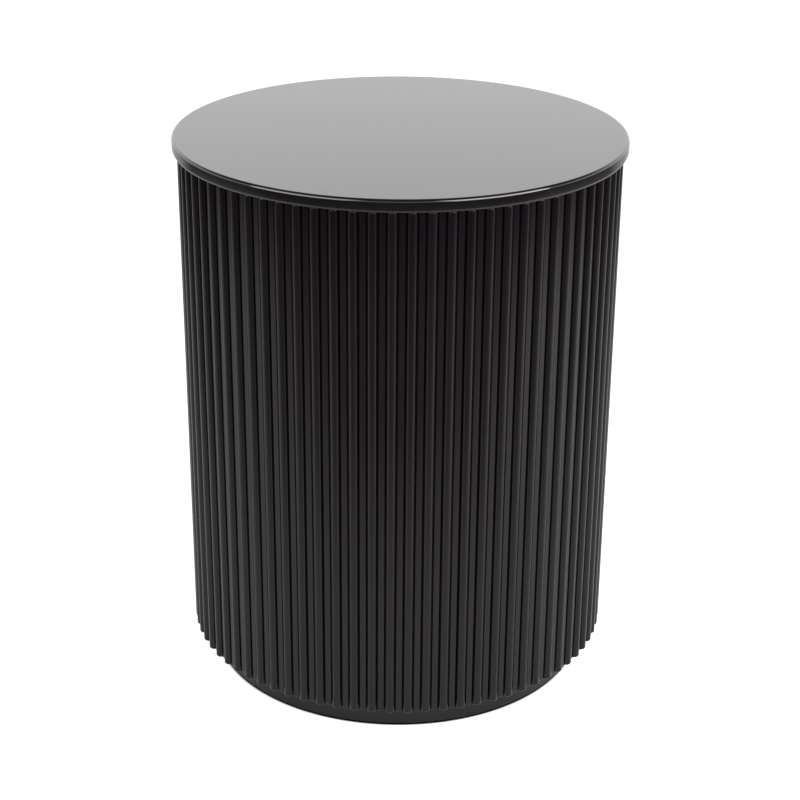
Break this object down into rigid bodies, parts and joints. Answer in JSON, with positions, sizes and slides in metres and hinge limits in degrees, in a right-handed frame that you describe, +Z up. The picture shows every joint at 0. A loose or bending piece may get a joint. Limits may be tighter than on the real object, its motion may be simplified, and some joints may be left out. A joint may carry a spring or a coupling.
{
  "type": "round side table",
  "caption": "Round side table: a thin disc top on a closed drum clad in vertical half-round battens, over a set-back plinth ring.",
  "frame": {"origin": "on the floor, under the middle of the round top", "axes": "+Z up along the drum's axis, -Y towards the front of the picture, +X to its right"},
  "size_m": [0.3999, 0.4, 0.5],
  "materials": {
    "top_lacquer": "near-black satin lacquer on board, rubbed smooth",
    "batten_lacquer": "near-black satin lacquer on half-round battens",
    "drum_lacquer": "near-black satin lacquer on a bent sheet",
    "plinth_lacquer": "near-black satin lacquer",
    "board_paint": "thin black sealer on board",
    "plywood": "bare plywood",
    "pine": "bare planed softwood",
    "beech": "bare beech dowel",
    "zinc_steel": "zinc-plated screw steel",
    "glide_plastic": "black moulded plastic"
  },
  "bodies": {
    "root": {"table_top": "top_lacquer", "upper_former": "plywood", "middle_former": "plywood", "lower_former": "plywood", "post_rear_right": "pine", "post_rear_left": "pine", "post_front_left": "pine", "post_front_right": "pine", "post_dowels": "beech", "drum_sheet": "drum_lacquer", "seam_splice_lower": "plywood", "seam_splice_upper": "plywood", "battens_front": "batten_lacquer", "battens_right": "batten_lacquer", "battens_rear": "batten_lacquer", "battens_left": "batten_lacquer", "base_board": "board_paint", "plinth_ring": "plinth_lacquer", "floor_glides": "glide_plastic", "top_screws": "zinc_steel", "base_screws": "zinc_steel", "plinth_screws": "zinc_steel"}
  },
  "joints": []
}
